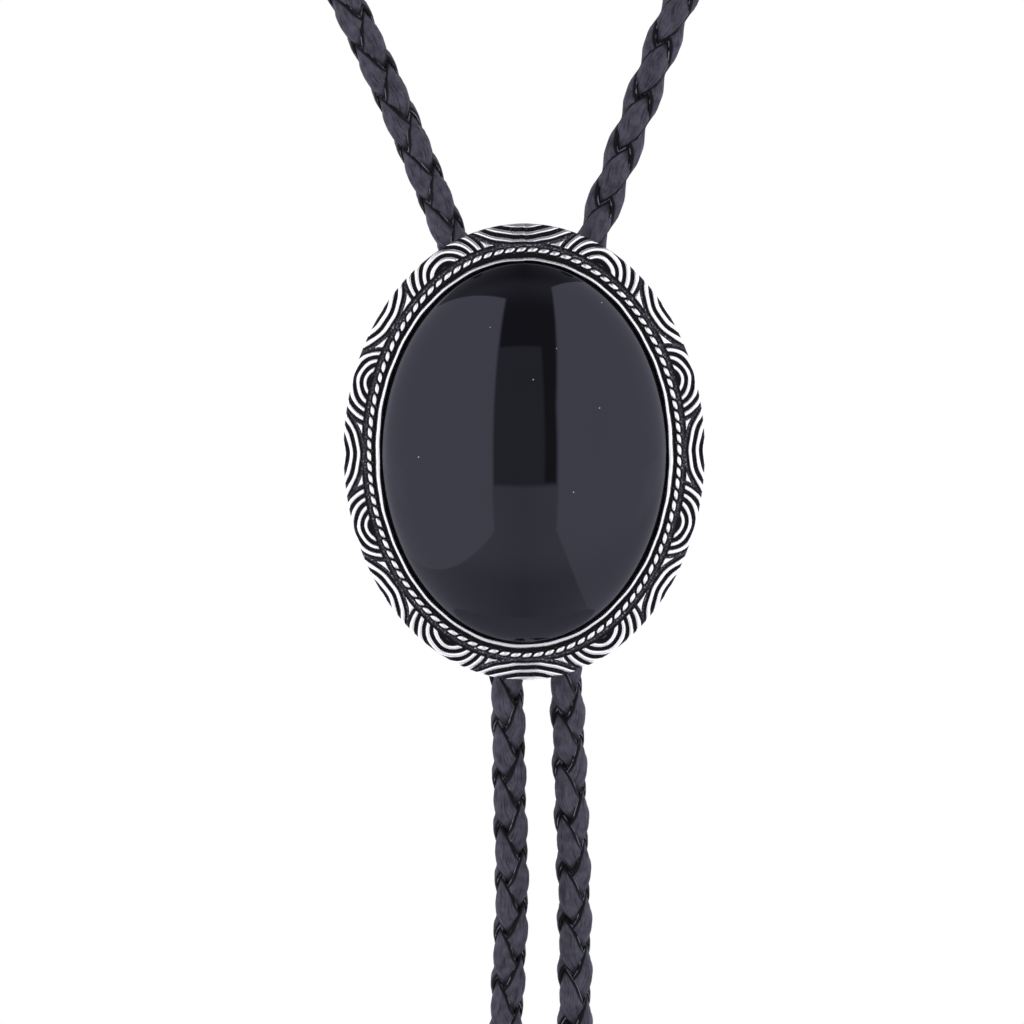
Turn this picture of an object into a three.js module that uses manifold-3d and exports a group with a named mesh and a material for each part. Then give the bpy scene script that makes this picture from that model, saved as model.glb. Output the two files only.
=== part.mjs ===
// A bolo tie in its worn form. An oval cast slide holds a domed black stone, a plain clasp on its back
// grips a braided leather cord, the cord goes once round the neck, and its two free ends hang below the
// slide in plain metal tips. Millimetres, +Z up, the front faces -Y. The origin is at the nape, on the
// side of the cord that rests on the neck.
import * as THREE from 'three'
import { mergeVertices } from 'three/addons/utils/BufferGeometryUtils.js'
import Module from 'manifold-3d'

const wasm = await Module()
wasm.setup()

// Clearance between pieces that touch
const pieceGap = 0.3

// Stone: a flat-backed oval with a short upright edge and a domed face
const stoneWidth = 30
const stoneHeight = 40
const stoneEdgeWall = 1.6
const stoneDomeRise = 5.4

// Cast frame: widths of its bands from the stone outward
const wireWidth = 0.42
const wireGrooveWidth = 0.28
const ropeWidth = 0.5
const plainBandWidth = 0.5
const patternWidth = 1.93

// Cast frame: heights above its flat back, and reliefs above the ground that they stand on
const floorThickness = 1.2
const rimThickness = 1.7
const shoulderThickness = 3
const wireRise = 0.9
const ropeRise = 0.42
const ridgeRise = 0.34
const reliefRoot = 0.3

// Border pattern: groups of nested ridges. Arches stand on the plain band, and bowls hang from the rim
// between them.
const ridgeWidth = 0.44
const ridgeEdgeMargin = 0.05

// The groups of one quarter of the border, from its top or bottom to its side. The place is a share of
// the quarter. The distances are shares of the pattern's width: the rings' centre beyond the rim for a
// bowl and inside the plain band's edge for an arch, the middle of the first ridge, which is a bowl's
// largest and an arch's smallest, and the ridges' pitch. Squash is how much flatter than round they are.
// An arch has its own number of ridges on the side toward the quarter's start and on the other side.
const bowls = [
  { place: 0, centre: 1.694, first: 3.005, pitch: 0.46, squash: 0.88 },
  { place: 0.537, centre: 1.642, first: 2.42, pitch: 0.413, squash: 0.985 },
  { place: 1, centre: 1.487, first: 2.57, pitch: 0.44, squash: 0.9 }
]
const arches = [
  { place: 0.286, centre: 0.648, first: 1.052, pitch: 0.413, squash: 1.03, before: 4, after: 4 },
  { place: 0.749, centre: 0.394, first: 0.801, pitch: 0.44, squash: 0.874, before: 3, after: 4 }
]

// Rope bead line
const ropeBeadPitch = 1.18
const ropeBeadLength = 0.98
const ropeBeadWidth = 0.5
const ropeBeadSlant = 38

// Clasp: a plain block with two upright channels
const claspHeight = 16
const claspWall = 1
const claspCorner = 1.3
const channelSpacing = 6.6

// Cord and tips
const cordDiameter = 3.5
const cordStep = 9
const tipLength = 32
const tipDiameter = 4.8

// Place of the slide: how far the back of the frame lies in front of the nape, and its centre below it
const slideForward = 138
const slideDrop = 186

// Facets
const ovalSegments = 64
const stoneSegments = 64
const stoneRings = 8
const cordSides = 8
const channelSides = 16
const tipSides = 16

const wireOuter = pieceGap + wireWidth
const ropeMiddle = wireOuter + wireGrooveWidth + ropeWidth / 2
const patternInner = wireOuter + wireGrooveWidth + ropeWidth + plainBandWidth
const rim = patternInner + patternWidth
const layLineShare = 0.16
const cordRadius = cordDiameter / 2
const channelRadius = (cordRadius + pieceGap) / Math.cos(Math.PI / channelSides)
const claspDepth = 2 * (claspWall + channelRadius)
const cordBehindFrame = pieceGap + claspDepth / 2
const cordY = cordBehindFrame - slideForward

// The cord's routes, as chosen points of its centre line. x and z are measured from the slide's centre
// where the cord is in front, and y from the plane of the cord at the clasp.
const leftRise = [
  [-3.3, 0, 0.15],
  [-3.3, 0, 5],
  [-3.3, 0, 10],
  [-4.95, 0, 15.6],
  [-7.55, 0, 22.1],
  [-12.75, 0, 34.6],
  [-18.6, 0.2, 47.2],
  [-25.4, 1.4, 60.5],
  [-33.6, 4.6, 76],
  [-42.8, 10.6, 94],
  [-51.2, 21, 113.5],
  [-57.6, 37, 132.5],
  [-61.3, 57, 149.5],
  [-61.5, 78, 163.5],
  [-57.4, 99, 174],
  [-47.2, 117, 181],
  [-31.5, 130, 184.7],
  [-15.8, 135.7, 185.8]
]
const rightRise = [
  [3.3, 0, 0.15],
  [3.3, 0, 5],
  [3.3, 0, 10],
  [4.7, 0, 15.6],
  [7.05, 0, 22.1],
  [11.55, 0, 34.6],
  [16.3, 0.2, 47.2],
  [22.4, 1.4, 60.5],
  [31.6, 4.6, 76],
  [41.4, 10.6, 94],
  [50.6, 21, 113.5],
  [57.4, 37, 132.5],
  [61.3, 57, 149.5],
  [61.5, 78, 163.5],
  [57.4, 99, 174],
  [47.2, 117, 181],
  [31.5, 130, 184.7],
  [15.8, 135.7, 185.8]
]
const leftFall = [
  [-3.3, 0, -0.15],
  [-3.3, 0, -5],
  [-3.3, 0, -10.5],
  [-2.65, 0, -17],
  [-1.87, 0, -24],
  [-1.53, 0, -36.5],
  [-1.3, 0, -47],
  [-1.74, 0, -57.4],
  [-2, 0, -63]
]
const rightFall = [
  [3.3, 0, -0.15],
  [3.3, 0, -5],
  [3.3, 0, -10.5],
  [3.85, 0, -17],
  [4.42, 0, -24],
  [4.93, 0, -36.5],
  [5.3, 0, -47],
  [5.4, 0, -57.4],
  [5.4, 0, -63]
]

// Tip profile: shares of the tip's radius and length, from its mouth down to its rounded end
const tipProfile = [
  { radius: 0.9, down: 0 },
  { radius: 1, down: 0.02 },
  { radius: 1, down: 0.07 },
  { radius: 0.88, down: 0.09 },
  { radius: 0.82, down: 0.35 },
  { radius: 0.56, down: 0.95 },
  { radius: 0.36, down: 0.99 }
]

// Point of the border, seen from the front: an ellipse of the stone's size, moved outward along its
// normal. The turn starts at the top and goes clockwise.
function ovalPoint(turn, outward) {
  const halfWidth = stoneWidth / 2
  const halfHeight = stoneHeight / 2
  const normal = new THREE.Vector2(halfHeight * Math.sin(turn), halfWidth * Math.cos(turn)).normalize()
  const edge = new THREE.Vector2(halfWidth * Math.sin(turn), halfHeight * Math.cos(turn))
  return edge.addScaledVector(normal, outward)
}

// A line round the border at one distance from the stone
class OvalLine extends THREE.Curve {
  constructor(outward) {
    super()
    this.outward = outward
    this.arcLengthDivisions = 720
  }

  getPoint(t) {
    return ovalPoint(2 * Math.PI * t, this.outward)
  }

  turnAt(distance) {
    const share = distance / this.getLength()
    const whole = Math.floor(share)
    return 2 * Math.PI * (whole + this.getUtoTmapping(share - whole))
  }
}

const layLine = new OvalLine(patternInner + layLineShare * patternWidth)

// Height of the frame's ground, which falls from the wire to the rim in a convex curve
function groundHeight(outward) {
  const share = (outward - wireOuter) / (rim - wireOuter)
  return rimThickness + (shoulderThickness - rimThickness) * (1 - share * share)
}

// Moves every vertex of a geometry by a rule
function reshape(geometry, rule) {
  const position = geometry.attributes.position
  const point = new THREE.Vector3()
  for (let i = 0; i < position.count; i++) {
    rule(point.fromBufferAttribute(position, i))
    position.setXYZ(i, point.x, point.y, point.z)
  }
  return geometry
}

// A turned body bent to the border's oval. The profile gives outward distance and height, and an outward
// distance of null is the centre.
function ovalBody(profile) {
  const turnedRadius = stoneWidth / 2
  const points = profile.map(([outward, height]) => {
    return new THREE.Vector2(outward === null ? 0 : turnedRadius + outward, height)
  })
  return reshape(new THREE.LatheGeometry(points, ovalSegments), (point) => {
    const radius = Math.hypot(point.x, point.z)
    const onAxis = radius < turnedRadius / 2
    const place = ovalPoint(Math.atan2(-point.x, point.z), radius - turnedRadius)
    point.set(onAxis ? 0 : place.x, -point.y, onAxis ? 0 : place.y)
  })
}

// A closed geometry as a solid that can be joined and cut
function solidOf(geometry) {
  const bare = geometry.clone()
  bare.deleteAttribute('normal')
  bare.deleteAttribute('uv')
  const merged = mergeVertices(bare, 1e-5)
  const corners = merged.index.array
  const kept = []
  for (let i = 0; i < corners.length; i += 3) {
    const [a, b, c] = corners.slice(i, i + 3)
    if (a !== b && b !== c && c !== a) kept.push(a, b, c)
  }
  const mesh = new wasm.Mesh({
    numProp: 3,
    vertProperties: new Float32Array(merged.attributes.position.array),
    triVerts: new Uint32Array(kept)
  })
  return new wasm.Manifold(mesh)
}

function geometryOf(solid) {
  const mesh = solid.getMesh()
  const geometry = new THREE.BufferGeometry()
  geometry.setAttribute('position', new THREE.BufferAttribute(mesh.vertProperties, 3))
  geometry.setIndex(new THREE.BufferAttribute(mesh.triVerts, 1))
  geometry.computeVertexNormals()
  return geometry
}

// Lays a flat relief piece on the border. Its x runs along the lay line, its y outward and its z up from
// a root below the ground.
function layOnBorder(geometry) {
  return reshape(geometry, (point) => {
    const height = groundHeight(point.y) + point.z - reliefRoot
    const place = ovalPoint(layLine.turnAt(point.x), point.y)
    point.set(place.x, -height, place.y)
  })
}

// One ridge: a band along an ellipse about a centre on the border, with sides that lean in to its top
function arcRidge(along, outward, radius, squash, from, to) {
  const outer = radius + ridgeWidth / 2
  const inner = radius - ridgeWidth / 2
  const shape = new THREE.Shape()
  shape.absellipse(0, 0, outer, squash * outer, from, to, false)
  shape.absellipse(0, 0, inner, squash * inner, to, from, true)
  shape.closePath()
  const depth = reliefRoot + ridgeRise
  const facetLength = 1.35
  const curveSegments = Math.max(1, Math.round((radius * Math.abs(to - from)) / facetLength / 2))
  const geometry = new THREE.ExtrudeGeometry(shape, { depth, curveSegments, bevelEnabled: false })
  const topShare = 0.55
  reshape(geometry, (point) => {
    const reach = Math.hypot(point.x, point.y / squash)
    const lean = point.z > depth / 2 ? (radius + (reach - radius) * topShare) / reach : 1
    point.set(along + point.x * lean, outward + point.y * lean, point.z)
  })
  return layOnBorder(geometry)
}

// A group at a distance along the border, with its sizes in millimetres. A group in a mirrored quarter
// has its two sides exchanged.
function placedGroup(group, along, centre, mirrored) {
  const sides = mirrored ? [group.after, group.before] : [group.before, group.after]
  return {
    along,
    centre,
    first: group.first * patternWidth,
    pitch: group.pitch * patternWidth,
    squash: group.squash,
    left: sides[0],
    right: sides[1]
  }
}

// Angle on one of a group's rings where it is a given distance outward
function angleAt(group, radius, outward) {
  const height = Math.abs(outward - group.centre) / (group.squash * radius)
  return Math.asin(THREE.MathUtils.clamp(height, -1, 1))
}

// Arches of nested ridges that stand on the plain band. Those that reach the rim are cut there.
function archRidges(group) {
  const overrun = ridgeWidth
  const ridges = []
  for (let k = 0; k < Math.max(group.left, group.right); k++) {
    const radius = group.first + k * group.pitch
    const foot = angleAt(group, radius, patternInner)
    const top = angleAt(group, radius, rim + overrun)
    const ridge = (from, to) => arcRidge(group.along, group.centre, radius, group.squash, from, to)
    if (top > Math.PI / 2 - 0.01) {
      ridges.push(ridge(foot, Math.PI - foot))
    } else {
      if (k < group.right) ridges.push(ridge(foot, top))
      if (k < group.left) ridges.push(ridge(Math.PI - top, Math.PI - foot))
    }
  }
  return ridges
}

// Bowls of nested ridges that hang from the rim, as many as fit below it
function bowlRidges(group) {
  const overrun = ridgeWidth
  const ridges = []
  let radius = group.first
  while (group.centre - group.squash * radius < rim) {
    const end = angleAt(group, radius, rim + overrun)
    ridges.push(
      arcRidge(group.along, group.centre, radius, group.squash, Math.PI + end, 2 * Math.PI - end)
    )
    radius -= group.pitch
  }
  return ridges
}

// The three-cornered filler left between a bowl and an arch beside it. Its corners are where the outlines
// of the two groups, a groove's width out, meet the plain band and each other.
function fillers(bowl, arch) {
  const side = Math.sign(arch.along - bowl.along)
  const count = side > 0 ? arch.left : arch.right
  const bowlReach = bowl.first - ridgeWidth / 2 + bowl.pitch
  const archReach = arch.first - ridgeWidth / 2 + count * arch.pitch
  const span = Math.abs(arch.along - bowl.along)
  const halfWidth = (group, reach, out) => {
    return Math.sqrt(Math.max(0, reach ** 2 - ((group.centre - out) / group.squash) ** 2))
  }
  const bowlEdge = (out) => halfWidth(bowl, bowlReach, out)
  const archEdge = (out) => span - halfWidth(arch, archReach, out)
  let low = patternInner
  let high = rim
  for (let k = 0; k < 30; k++) {
    const middle = (low + high) / 2
    if (bowlEdge(middle) < archEdge(middle)) low = middle
    else high = middle
  }
  const smallest = 0.2
  if (low - patternInner < smallest) return []
  const corners = [
    [bowlEdge(patternInner), patternInner],
    [archEdge(patternInner), patternInner],
    [archEdge(low), low]
  ]
  const shape = new THREE.Shape(corners.map(([x, y]) => new THREE.Vector2(bowl.along + side * x, y)))
  const depth = reliefRoot + ridgeRise
  return [layOnBorder(new THREE.ExtrudeGeometry(shape, { depth, bevelEnabled: false }))]
}

// The border's groups in order along the lay line, bowls and arches by turns
function borderGroups() {
  const quarter = layLine.getLength() / 4
  const groups = []
  for (let q = 0; q < 4; q++) {
    const mirrored = q % 2 === 1
    const add = (group, centre) => {
      const share = mirrored ? 1 - group.place : group.place
      groups.push(placedGroup(group, (q + share) * quarter, centre, mirrored))
    }
    for (const bowl of bowls) {
      const shared = bowl.place === (mirrored ? 0 : 1)
      if (!shared) add(bowl, rim + bowl.centre * patternWidth)
    }
    for (const arch of arches) add(arch, patternInner - arch.centre * patternWidth)
  }
  return groups.sort((a, b) => a.along - b.along)
}

// The slanted beads of the rope line
function ropeBeads() {
  const line = new OvalLine(ropeMiddle)
  const count = Math.round(line.getLength() / ropeBeadPitch)
  const topShare = 0.45
  const corners = 4
  const bead = new THREE.CylinderGeometry(topShare, 1, 2 * ropeRise, corners, 1).rotateX(Math.PI / 2)
  bead.scale(ropeBeadLength / 2, ropeBeadWidth / 2, 1)
  bead.rotateZ(THREE.MathUtils.degToRad(ropeBeadSlant))
  const beads = []
  for (let k = 0; k < count; k++) {
    const turn = line.turnAt(((k + 0.5) * line.getLength()) / count)
    const place = ovalPoint(turn, ropeMiddle)
    const outward = ovalPoint(turn, ropeMiddle + 1).sub(place)
    const frame = new THREE.Matrix4().makeBasis(
      new THREE.Vector3(outward.y, 0, -outward.x),
      new THREE.Vector3(outward.x, 0, outward.y),
      new THREE.Vector3(0, -1, 0)
    )
    frame.setPosition(place.x, -groundHeight(ropeMiddle), place.y)
    beads.push(bead.clone().applyMatrix4(frame))
  }
  return beads
}

// The plain casting under the relief: a dish for the stone, the raised wire round it and the border
function plainCasting() {
  const wireTop = shoulderThickness + wireRise
  const wireTaper = wireWidth / 4
  const patternMiddle = patternInner + 0.55 * patternWidth
  const ground = [rim, patternMiddle, patternInner, wireOuter].map((outward) => {
    return [outward, groundHeight(outward)]
  })
  return ovalBody([
    [null, 0],
    [rim, 0],
    ...ground,
    [wireOuter - wireTaper, wireTop],
    [pieceGap + wireTaper, wireTop],
    [pieceGap, floorThickness],
    [null, floorThickness]
  ])
}

// A plug that the ridges are cut to, so that they end cleanly at the rim
function rimPlug() {
  const low = 0.2
  const high = shoulderThickness + wireRise
  return ovalBody([
    [null, low],
    [rim - ridgeEdgeMargin, low],
    [rim - ridgeEdgeMargin, high],
    [null, high]
  ])
}

function slideFrame() {
  const groups = borderGroups()
  const relief = []
  groups.forEach((group, k) => {
    const hangs = k % 2 === 0
    relief.push(...(hangs ? bowlRidges(group) : archRidges(group)))
    if (hangs) return
    const last = k + 1 === groups.length
    const next = last ? { ...groups[0], along: layLine.getLength() } : groups[k + 1]
    relief.push(...fillers(groups[k - 1], group), ...fillers(next, group))
  })
  const ridges = wasm.Manifold.union(relief.map(solidOf)).intersect(solidOf(rimPlug()))
  const casting = wasm.Manifold.union([solidOf(plainCasting()), ridges, ...ropeBeads().map(solidOf)])
  // The cuts can leave specks beside the casting, so the one large body is kept
  const bodies = casting.decompose().sort((a, b) => b.volume() - a.volume())
  return geometryOf(bodies[0])
}

// The stone: radius shares of the oval with heights, turned and drawn out to the oval
function cabochon() {
  const bottomBevel = 0.4
  const points = [
    new THREE.Vector2(0, 0),
    new THREE.Vector2(1 - bottomBevel / (stoneWidth / 2), 0),
    new THREE.Vector2(1, bottomBevel),
    new THREE.Vector2(1, stoneEdgeWall)
  ]
  for (let k = 1; k <= stoneRings; k++) {
    const lift = (k / stoneRings) * (Math.PI / 2)
    const radius = k === stoneRings ? 0 : Math.cos(lift)
    points.push(new THREE.Vector2(radius, stoneEdgeWall + stoneDomeRise * Math.sin(lift)))
  }
  const geometry = new THREE.LatheGeometry(points, stoneSegments)
  geometry.scale(stoneWidth / 2, 1, stoneHeight / 2)
  return geometry.rotateX(Math.PI)
}

function clasp() {
  const halfWidth = channelSpacing / 2 + channelRadius + claspWall
  const halfDepth = claspDepth / 2
  const shape = new THREE.Shape()
  shape.absarc(halfWidth - claspCorner, halfDepth - claspCorner, claspCorner, 0, Math.PI / 2)
  shape.absarc(claspCorner - halfWidth, halfDepth - claspCorner, claspCorner, Math.PI / 2, Math.PI)
  shape.absarc(claspCorner - halfWidth, claspCorner - halfDepth, claspCorner, Math.PI, 1.5 * Math.PI)
  shape.absarc(halfWidth - claspCorner, claspCorner - halfDepth, claspCorner, 1.5 * Math.PI, 2 * Math.PI)
  for (const side of [-1, 1]) {
    const channel = Array.from({ length: channelSides }, (_, k) => {
      const angle = (2 * Math.PI * (k + 0.5)) / channelSides
      const x = (side * channelSpacing) / 2 + channelRadius * Math.cos(angle)
      return new THREE.Vector2(x, channelRadius * Math.sin(angle))
    })
    shape.holes.push(new THREE.Path(channel))
  }
  const geometry = new THREE.ExtrudeGeometry(shape, {
    depth: claspHeight,
    curveSegments: 2,
    bevelEnabled: false
  })
  return geometry.translate(0, 0, -claspHeight / 2)
}

// A length of cord along a route, as a plain tube
function cordTube(route) {
  const points = route.map(([x, y, z]) => new THREE.Vector3(x, cordY + y, z - slideDrop))
  const path = new THREE.CatmullRomCurve3(points, false, 'centripetal')
  const section = Array.from({ length: cordSides }, (_, k) => {
    const angle = (2 * Math.PI * k) / cordSides
    return new THREE.Vector2(cordRadius * Math.cos(angle), cordRadius * Math.sin(angle))
  })
  return new THREE.ExtrudeGeometry(new THREE.Shape(section), {
    steps: Math.round(path.getLength() / cordStep),
    extrudePath: path
  })
}

function cordTip() {
  const points = tipProfile.map(({ radius, down }) => {
    return new THREE.Vector2((radius * tipDiameter) / 2, -down * tipLength)
  })
  const profile = [new THREE.Vector2(0, 0), ...points, new THREE.Vector2(0, -tipLength)]
  return new THREE.LatheGeometry(profile.reverse(), tipSides).rotateX(Math.PI / 2)
}

const silver = () => new THREE.MeshStandardMaterial({ color: 0xb9b9bf, roughness: 0.35, metalness: 1 })
const leather = () => new THREE.MeshStandardMaterial({ color: 0x2e2e36, roughness: 0.6, metalness: 0 })
const stone = () => new THREE.MeshStandardMaterial({ color: 0x08080a, roughness: 0.08, metalness: 0 })

function piece(name, geometry, material) {
  const mesh = new THREE.Mesh(geometry, material)
  mesh.name = name
  return mesh
}

const slide = new THREE.Group()
slide.position.set(0, -slideForward, -slideDrop)
slide.add(piece('slide_frame', slideFrame(), silver()))

const seatedStone = piece('cabochon', cabochon(), stone())
seatedStone.position.y = -(floorThickness + pieceGap)
slide.add(seatedStone)

const backClasp = piece('clasp', clasp(), silver())
backClasp.position.y = cordBehindFrame
slide.add(backClasp)

const boloTie = new THREE.Group()
boloTie.add(slide)

// At the nape the cord's side is on the origin, so its centre line is a cord's radius behind it
const nape = [0, cordRadius - cordY, slideDrop]
const neckRoute = [...leftRise, nape, ...rightRise.toReversed()]
boloTie.add(piece('neck_cord', cordTube(neckRoute), leather()))

for (const [side, route] of [['left', leftFall], ['right', rightFall]]) {
  boloTie.add(piece(`${side}_end`, cordTube(route), leather()))
  const [x, y, z] = route.at(-1)
  const tip = piece(`${side}_tip`, cordTip(), silver())
  tip.position.set(x, cordY + y, z - slideDrop - pieceGap)
  boloTie.add(tip)
}

export default boloTie
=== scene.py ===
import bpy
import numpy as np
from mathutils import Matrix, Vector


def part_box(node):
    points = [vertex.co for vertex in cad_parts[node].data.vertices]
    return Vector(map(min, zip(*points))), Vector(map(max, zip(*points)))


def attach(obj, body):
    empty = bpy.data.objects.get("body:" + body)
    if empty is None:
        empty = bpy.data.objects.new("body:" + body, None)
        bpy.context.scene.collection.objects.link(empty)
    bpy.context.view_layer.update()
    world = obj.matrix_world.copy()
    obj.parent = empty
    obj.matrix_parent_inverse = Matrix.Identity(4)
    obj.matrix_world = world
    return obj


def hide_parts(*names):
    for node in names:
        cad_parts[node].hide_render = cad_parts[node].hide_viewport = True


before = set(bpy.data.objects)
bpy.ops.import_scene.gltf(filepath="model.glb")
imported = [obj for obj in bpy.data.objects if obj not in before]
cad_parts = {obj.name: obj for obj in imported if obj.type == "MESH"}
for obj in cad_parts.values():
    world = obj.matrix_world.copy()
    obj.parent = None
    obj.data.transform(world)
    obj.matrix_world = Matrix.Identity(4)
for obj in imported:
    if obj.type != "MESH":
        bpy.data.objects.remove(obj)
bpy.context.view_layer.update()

# A bolo tie as it hangs when worn: a cast silver-plated slide with a black stone, held by a clasp
# on a round braid of four leather laces. Metres, +Z up, the slide faces -Y.

MM = 0.001
TAU = 2 * np.pi

# Driving sizes of the slide, taken from the solids
stone_low, stone_high = (np.array(corner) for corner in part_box("cabochon"))
frame_low, frame_high = (np.array(corner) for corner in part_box("slide_frame"))
clasp_low, clasp_high = (np.array(corner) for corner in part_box("clasp"))
slide_centre = (stone_low + stone_high) / 2
stone_half_width, _, stone_half_height = (stone_high - stone_low) / 2
stone_back_y = stone_high[1]
stone_depth = stone_high[1] - stone_low[1]
frame_back_y = frame_high[1]
rim_outward = (frame_high[0] - frame_low[0]) / 2 - stone_half_width
cord_y = (clasp_low[1] + clasp_high[1]) / 2

# Bands of the casting, as distances outward from the stone's edge
WIRE_MIDDLE = 0.32 * MM
WIRE_SIDEWAYS = 0.06 * MM
WIRE_END_SHIFT = 0.12 * MM
WIRE_HALF_WIDTH = 0.245 * MM
WIRE_END_WIDENING = 0.11 * MM
ROPE_MIDDLE = 1.19 * MM
ROPE_EDGE = 1.58 * MM
PATTERN_INNER = 2.0 * MM
LAY_LINE = 2.31 * MM

# Heights above the frame's flat back
SHOULDER = 3.0 * MM
RIM_HEIGHT = 1.7 * MM
DISH_FLOOR = 1.2 * MM
WIRE_RISE = 0.85 * MM
ROPE_RISE = 0.42 * MM
RIDGE_RISE = 0.36 * MM
STONE_WALL = 1.6 * MM

# Arc pattern of the border, for a quarter of the oval from its top or bottom to its side. Each row
# is the group's place as a share of the quarter, its centre's distance outward, the middle of its
# first ridge and the ridges' pitch, in millimetres, and how far its rings are squashed outward. A
# bowl's first ridge is its largest and an arch's is its smallest. The last two are an arch's ridges
# on the side toward the quarter's start and on the other side. The low centre is how high the
# middle of an arch is, as a share of a ridge.
BOWLS = [
    (0.0, 7.2, 5.8, 0.888, 0.88),
    (0.537, 7.1, 4.67, 0.797, 0.985),
    (1.0, 6.8, 4.96, 0.85, 0.9),
]
ARCHES = [
    (0.286, 0.75, 2.03, 0.797, 1.03, 4, 4),
    (0.749, 1.24, 1.545, 0.85, 0.874, 3, 4),
]
FILLER_GROOVE = 0.1 * MM
RIDGE_HALF_WIDTH = 0.25 * MM
LOW_CENTRE = 0.35
PATTERN_TURN = -0.2 * MM
RECESS_REACH = 0.36 * MM
EDGE_ROUND = 0.3 * MM

# Points in a ring of the casting's meshes
CASTING_COLUMNS = 1600

# Rope line
ROPE_BEADS = 100
BEAD_START = 0.27 * MM
BEAD_LENGTH = 1.03 * MM
BEAD_WIDTH = 0.57 * MM
BEAD_SLANT = np.radians(36)

# Cord: a round braid of four flat laces on a core. The radius is to the crests of the leaves. A
# first turn is where in a leaf a braid starts, and a step is the distance between the rings of its
# mesh.
CORD_DIAMETER = 3.5 * MM
BRAID_RADIUS = 1.98 * MM
CORE_RADIUS = 1.1 * MM
LACE_THICKNESS = 0.8 * MM
LACE_SIDES = 14
LEAF_REST = 0.32
LOOP_LEAVES = 102.69
LOOP_FIRST_TURN = 0.338
LOOP_LACE_WIDTH = 3.25 * MM
LOOP_STEP = 0.45 * MM
HANGING_LEAF_PITCH = 5.5 * MM
HANGING_LACE_WIDTH = 2.9 * MM
HANGING_STEP = 0.25 * MM

# The cord's routes, as chosen points of its centre line, in millimetres: x and z from the slide's
# centre, and y from the plane of the cord at the clasp
LEFT_RISE = [
    (-3.3, 0, 0.15),
    (-3.3, 0, 5),
    (-3.3, 0, 10),
    (-4.95, 0, 15.6),
    (-7.55, 0, 22.1),
    (-12.75, 0, 34.6),
    (-18.6, 0.2, 47.2),
    (-25.4, 1.4, 60.5),
    (-33.6, 4.6, 76),
    (-42.8, 10.6, 94),
    (-51.2, 21, 113.5),
    (-57.6, 37, 132.5),
    (-61.3, 57, 149.5),
    (-61.5, 78, 163.5),
    (-57.4, 99, 174),
    (-47.2, 117, 181),
    (-31.5, 130, 184.7),
    (-15.8, 135.7, 185.8),
]
RIGHT_RISE = [
    (3.3, 0, 0.15),
    (3.3, 0, 5),
    (3.3, 0, 10),
    (4.7, 0, 15.6),
    (7.05, 0, 22.1),
    (11.55, 0, 34.6),
    (16.3, 0.2, 47.2),
    (22.4, 1.4, 60.5),
    (31.6, 4.6, 76),
    (41.4, 10.6, 94),
    (50.6, 21, 113.5),
    (57.4, 37, 132.5),
    (61.3, 57, 149.5),
    (61.5, 78, 163.5),
    (57.4, 99, 174),
    (47.2, 117, 181),
    (31.5, 130, 184.7),
    (15.8, 135.7, 185.8),
]
LEFT_FALL = [
    (-3.3, 0, -0.15),
    (-3.3, 0, -5),
    (-3.3, 0, -10.5),
    (-2.65, 0, -17),
    (-1.87, 0, -24),
    (-1.53, 0, -36.5),
    (-1.3, 0, -47),
    (-1.74, 0, -57.4),
    (-2, 0, -63),
]
RIGHT_FALL = [
    (3.3, 0, -0.15),
    (3.3, 0, -5),
    (3.3, 0, -10.5),
    (3.85, 0, -17),
    (4.42, 0, -24),
    (4.93, 0, -36.5),
    (5.3, 0, -47),
    (5.4, 0, -57.4),
    (5.4, 0, -63),
]
# The nape: the cord's side rests on the origin, so its centre line is half a cord behind it
NAPE = (0, CORD_DIAMETER / 2 / MM - cord_y / MM, -slide_centre[2] / MM)
# The hanging ends: the side, the route, the angle that the braid is turned about the cord, and its
# first turn
HANGING_ENDS = [
    ("left", LEFT_FALL, 0.15, -0.24),
    ("right", RIGHT_FALL, 0.28, -0.03),
]


# Camera

PHOTO_SIDE = 107.1 * MM
PHOTO_CENTRE_X = -1.28 * MM
PHOTO_CENTRE_Z = -6.22 * MM
SCALE_PLANE = 2.5 * MM
CAMERA_LIFT = np.radians(2.8)
LENS = 200
SENSOR = 36


def make_camera():
    """The camera stands in front of the slide and looks down at it a little, as far off as makes
    the photograph's side fit at the height of the stone's edge."""
    data = bpy.data.cameras.new("camera")
    data.lens = LENS
    data.sensor_width = SENSOR
    data.clip_end = 50
    camera = bpy.data.objects.new("camera", data)
    bpy.context.scene.collection.objects.link(camera)
    forward = np.array([0, np.cos(CAMERA_LIFT), -np.sin(CAMERA_LIFT)])
    upward = np.array([0, np.sin(CAMERA_LIFT), np.cos(CAMERA_LIFT)])
    aim = np.array([slide_centre[0] + PHOTO_CENTRE_X, frame_back_y - SCALE_PLANE, slide_centre[2]])
    camera.location = aim + PHOTO_CENTRE_Z * upward - PHOTO_SIDE * LENS / SENSOR * forward
    camera.rotation_euler = (np.pi / 2 - CAMERA_LIFT, 0, 0)
    bpy.context.scene.camera = camera


make_camera()


# Meshes


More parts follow.
